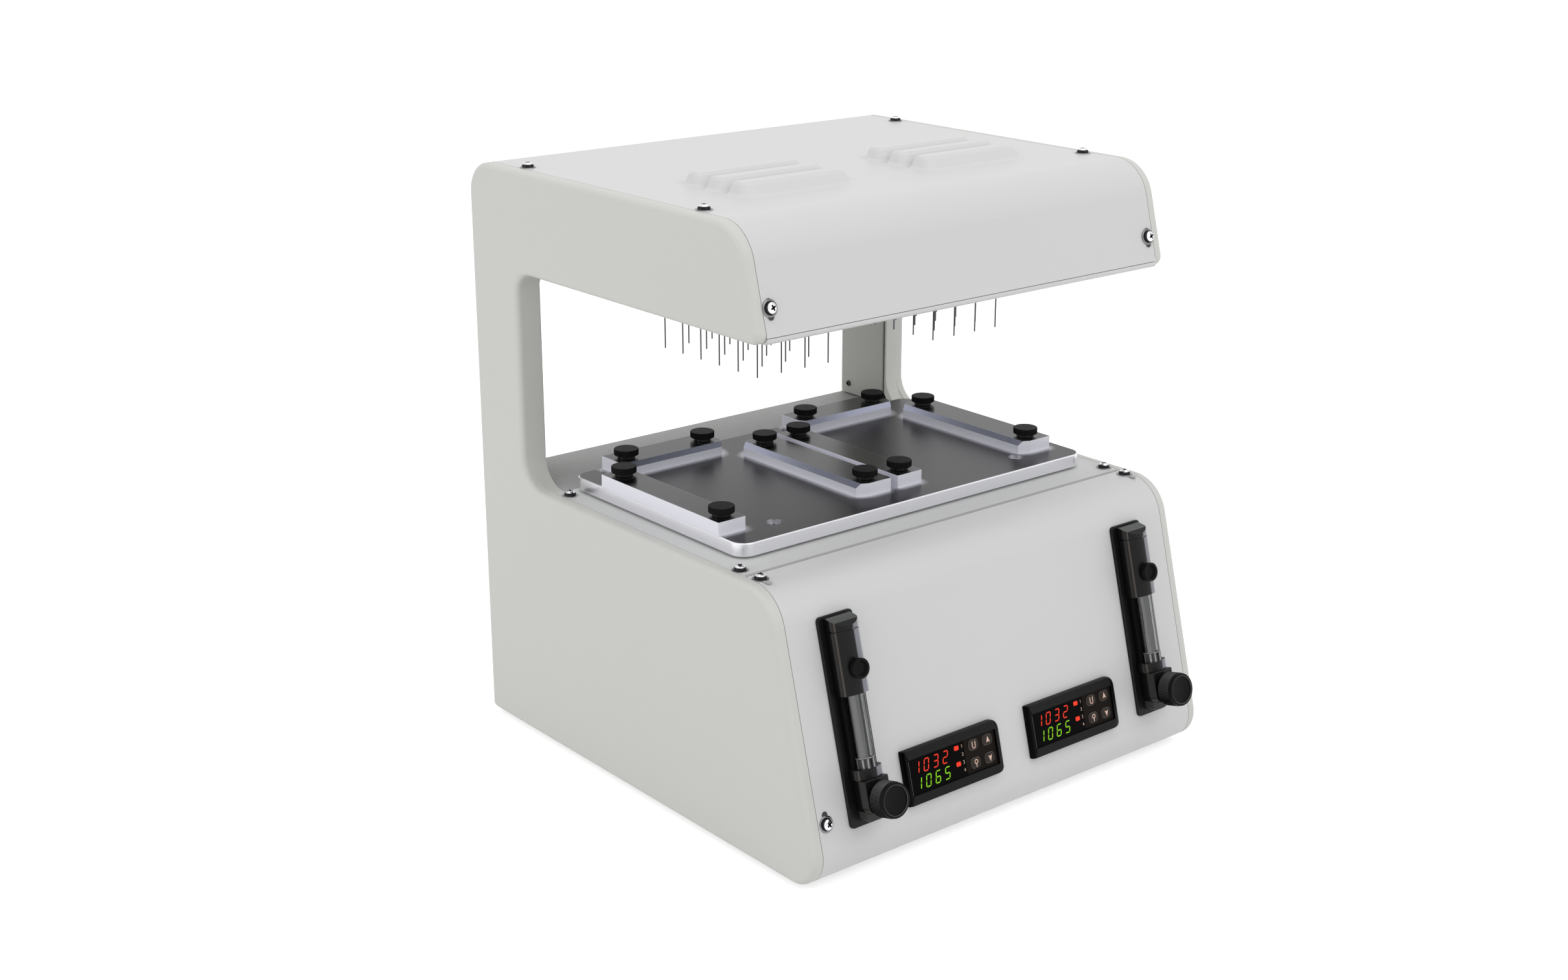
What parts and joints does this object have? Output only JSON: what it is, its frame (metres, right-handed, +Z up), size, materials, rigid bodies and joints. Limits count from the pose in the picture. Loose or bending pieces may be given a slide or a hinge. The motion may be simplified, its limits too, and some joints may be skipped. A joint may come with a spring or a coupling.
{
  "type": "nitrogen sample evaporator",
  "caption": "Bench-top gas-blowdown evaporator: C-shaped housing with a head of needles over a lifting tray with adjustable plate nests, flowmeters and controllers on a sloping front.",
  "frame": {"origin": "on the bench, below the middle of the object's bounding box", "axes": "+Z up, +X to the right seen from the front, the sloping front facing -Y"},
  "size_m": [0.323, 0.3755, 0.378],
  "materials": {
    "panel_paint": "satin powder coat",
    "cover_paint": "fine satin powder coat",
    "deck_paint": "fine satin powder coat",
    "anodised_plate": "satin anodised",
    "anodised_guide": "satin anodised",
    "thumb_black": "knurled black with a polished neck",
    "needle_steel": "drawn",
    "manifold_alloy": "machined",
    "meter_black": "satin moulded",
    "sight_tube": "clear acrylic",
    "float_steel": "polished",
    "knob_black": "moulded",
    "controller_black": "satin moulded",
    "key_rubber": "soft",
    "foot_rubber": "soft",
    "fitting_brass": "turned",
    "gas_hose": "smooth",
    "socket_black": "moulded",
    "rocker_black": "moulded",
    "frame_alloy": "machined",
    "bush_brass": "turned",
    "drive_paint": "painted"
  },
  "bodies": {
    "housing": {"side_panel_left": "panel_paint", "side_panel_right": "panel_paint", "column_covers": "deck_paint", "head_cover": "cover_paint", "head_underside": "cover_paint", "front_cover": "cover_paint", "deck_plate": "deck_paint", "rear_cover": "cover_paint", "base_pan": "deck_paint", "rubber_feet": "foot_rubber", "manifold_left": "manifold_alloy", "manifold_right": "manifold_alloy", "needles_left": "needle_steel", "needles_right": "needle_steel", "gas_inlets": "fitting_brass", "gas_tubes": "gas_hose", "lift_bushings": "bush_brass", "lift_actuator": "drive_paint", "flowmeter_left": "meter_black", "flowmeter_right": "meter_black", "flow_tube_left": "sight_tube", "flow_tube_right": "sight_tube", "shroud_knobs": "knob_black", "controller_left": "controller_black", "controller_right": "controller_black", "power_inlet": "socket_black", "switch_frame": "socket_black"},
    "tray": {"tray_plate": "anodised_plate", "lift_frame": "frame_alloy"},
    "guide_left_outer": {"guide_left_outer": "anodised_guide"},
    "screw_left_outer_1": {"screw_left_outer_1": "thumb_black"},
    "screw_left_outer_2": {"screw_left_outer_2": "thumb_black"},
    "guide_left_inner": {"guide_left_inner": "anodised_guide"},
    "screw_left_inner_1": {"screw_left_inner_1": "thumb_black"},
    "screw_left_inner_2": {"screw_left_inner_2": "thumb_black"},
    "guide_left_rear": {"guide_left_rear": "anodised_guide"},
    "screw_left_rear_1": {"screw_left_rear_1": "thumb_black"},
    "screw_left_rear_2": {"screw_left_rear_2": "thumb_black"},
    "guide_right_inner": {"guide_right_inner": "anodised_guide"},
    "screw_right_inner_1": {"screw_right_inner_1": "thumb_black"},
    "screw_right_inner_2": {"screw_right_inner_2": "thumb_black"},
    "guide_right_outer": {"guide_right_outer": "anodised_guide"},
    "screw_right_outer_1": {"screw_right_outer_1": "thumb_black"},
    "screw_right_outer_2": {"screw_right_outer_2": "thumb_black"},
    "guide_right_rear": {"guide_right_rear": "anodised_guide"},
    "screw_right_rear_1": {"screw_right_rear_1": "thumb_black"},
    "screw_right_rear_2": {"screw_right_rear_2": "thumb_black"},
    "flow_float_left": {"flow_float_left": "float_steel"},
    "valve_knob_left": {"valve_knob_left": "knob_black"},
    "key_left_1": {"key_left_1": "key_rubber"},
    "key_left_2": {"key_left_2": "key_rubber"},
    "key_left_3": {"key_left_3": "key_rubber"},
    "key_left_4": {"key_left_4": "key_rubber"},
    "flow_float_right": {"flow_float_right": "float_steel"},
    "valve_knob_right": {"valve_knob_right": "knob_black"},
    "key_right_1": {"key_right_1": "key_rubber"},
    "key_right_2": {"key_right_2": "key_rubber"},
    "key_right_3": {"key_right_3": "key_rubber"},
    "key_right_4": {"key_right_4": "key_rubber"},
    "switch_rocker": {"switch_rocker": "rocker_black"}
  },
  "joints": [
    {"name": "tray_lift", "type": "slide", "parent": "housing", "child": "tray", "axis": [0, 0, 1], "range_m": [0, 0.04]},
    {"name": "guide_left_outer_slide", "type": "slide", "parent": "tray", "child": "guide_left_outer", "axis": [1, 0, 0], "range_m": [-0.0025, 0.0025]},
    {"name": "screw_left_outer_1_turn", "type": "hinge", "parent": "tray", "child": "screw_left_outer_1", "pos_m": [-0.1311, -0.0442, 0.19], "axis": [0, 0, 1], "continuous": true},
    {"name": "screw_left_outer_2_turn", "type": "hinge", "parent": "tray", "child": "screw_left_outer_2", "pos_m": [-0.1311, 0.0532, 0.19], "axis": [0, 0, 1], "continuous": true},
    {"name": "guide_left_inner_slide", "type": "slide", "parent": "tray", "child": "guide_left_inner", "axis": [1, 0, 0], "range_m": [-0.0025, 0.0025]},
    {"name": "screw_left_inner_1_turn", "type": "hinge", "parent": "tray", "child": "screw_left_inner_1", "pos_m": [-0.0204, -0.0442, 0.19], "axis": [0, 0, 1], "continuous": true},
    {"name": "screw_left_inner_2_turn", "type": "hinge", "parent": "tray", "child": "screw_left_inner_2", "pos_m": [-0.0204, 0.0532, 0.19], "axis": [0, 0, 1], "continuous": true},
    {"name": "guide_left_rear_slide", "type": "slide", "parent": "tray", "child": "guide_left_rear", "axis": [0, 1, 0], "range_m": [-0.0025, 0.0025]},
    {"name": "screw_left_rear_1_turn", "type": "hinge", "parent": "tray", "child": "screw_left_rear_1", "pos_m": [-0.1091, 0.08175, 0.19], "axis": [0, 0, 1], "continuous": true},
    {"name": "screw_left_rear_2_turn", "type": "hinge", "parent": "tray", "child": "screw_left_rear_2", "pos_m": [-0.0491, 0.08175, 0.19], "axis": [0, 0, 1], "continuous": true},
    {"name": "guide_right_inner_slide", "type": "slide", "parent": "tray", "child": "guide_right_inner", "axis": [1, 0, 0], "range_m": [-0.0025, 0.0025]},
    {"name": "screw_right_inner_1_turn", "type": "hinge", "parent": "tray", "child": "screw_right_inner_1", "pos_m": [0.00775, -0.0442, 0.19], "axis": [0, 0, 1], "continuous": true},
    {"name": "screw_right_inner_2_turn", "type": "hinge", "parent": "tray", "child": "screw_right_inner_2", "pos_m": [0.00775, 0.0532, 0.19], "axis": [0, 0, 1], "continuous": true},
    {"name": "guide_right_outer_slide", "type": "slide", "parent": "tray", "child": "guide_right_outer", "axis": [1, 0, 0], "range_m": [-0.0025, 0.0025]},
    {"name": "screw_right_outer_1_turn", "type": "hinge", "parent": "tray", "child": "screw_right_outer_1", "pos_m": [0.11845, -0.0442, 0.19], "axis": [0, 0, 1], "continuous": true},
    {"name": "screw_right_outer_2_turn", "type": "hinge", "parent": "tray", "child": "screw_right_outer_2", "pos_m": [0.11845, 0.0532, 0.19], "axis": [0, 0, 1], "continuous": true},
    {"name": "guide_right_rear_slide", "type": "slide", "parent": "tray", "child": "guide_right_rear", "axis": [0, 1, 0], "range_m": [-0.0025, 0.0025]},
    {"name": "screw_right_rear_1_turn", "type": "hinge", "parent": "tray", "child": "screw_right_rear_1", "pos_m": [0.0376, 0.08175, 0.19], "axis": [0, 0, 1], "continuous": true},
    {"name": "screw_right_rear_2_turn", "type": "hinge", "parent": "tray", "child": "screw_right_rear_2", "pos_m": [0.0976, 0.08175, 0.19], "axis": [0, 0, 1], "continuous": true},
    {"name": "flow_float_left_rise", "type": "slide", "parent": "housing", "child": "flow_float_left", "axis": [0, 0.2588, 0.9659], "range_m": [0, 0.03]},
    {"name": "valve_knob_left_turn", "type": "hinge", "parent": "housing", "child": "valve_knob_left", "pos_m": [-0.1198, -0.1745, 0.05409], "axis": [0, -0.9659, 0.2588], "continuous": true},
    {"name": "key_left_1_press", "type": "slide", "parent": "housing", "child": "key_left_1", "axis": [0, 0.9659, -0.2588], "range_m": [0, 0.0005], "stiffness_N_per_m": 400, "springref_m": -0.0005},
    {"name": "key_left_2_press", "type": "slide", "parent": "housing", "child": "key_left_2", "axis": [0, 0.9659, -0.2588], "range_m": [0, 0.0005], "stiffness_N_per_m": 400, "springref_m": -0.0005},
    {"name": "key_left_3_press", "type": "slide", "parent": "housing", "child": "key_left_3", "axis": [0, 0.9659, -0.2588], "range_m": [0, 0.0005], "stiffness_N_per_m": 400, "springref_m": -0.0005},
    {"name": "key_left_4_press", "type": "slide", "parent": "housing", "child": "key_left_4", "axis": [0, 0.9659, -0.2588], "range_m": [0, 0.0005], "stiffness_N_per_m": 400, "springref_m": -0.0005},
    {"name": "flow_float_right_rise", "type": "slide", "parent": "housing", "child": "flow_float_right", "axis": [0, 0.2588, 0.9659], "range_m": [0, 0.03]},
    {"name": "valve_knob_right_turn", "type": "hinge", "parent": "housing", "child": "valve_knob_right", "pos_m": [0.1198, -0.1745, 0.05409], "axis": [0, -0.9659, 0.2588], "continuous": true},
    {"name": "key_right_1_press", "type": "slide", "parent": "housing", "child": "key_right_1", "axis": [0, 0.9659, -0.2588], "range_m": [0, 0.0005], "stiffness_N_per_m": 400, "springref_m": -0.0005},
    {"name": "key_right_2_press", "type": "slide", "parent": "housing", "child": "key_right_2", "axis": [0, 0.9659, -0.2588], "range_m": [0, 0.0005], "stiffness_N_per_m": 400, "springref_m": -0.0005},
    {"name": "key_right_3_press", "type": "slide", "parent": "housing", "child": "key_right_3", "axis": [0, 0.9659, -0.2588], "range_m": [0, 0.0005], "stiffness_N_per_m": 400, "springref_m": -0.0005},
    {"name": "key_right_4_press", "type": "slide", "parent": "housing", "child": "key_right_4", "axis": [0, 0.9659, -0.2588], "range_m": [0, 0.0005], "stiffness_N_per_m": 400, "springref_m": -0.0005},
    {"name": "switch_rocker_tip", "type": "hinge", "parent": "housing", "child": "switch_rocker", "pos_m": [-0.055, 0.17, 0.06], "axis": [1, 0, 0], "range_deg": [-10, 10]}
  ]
}
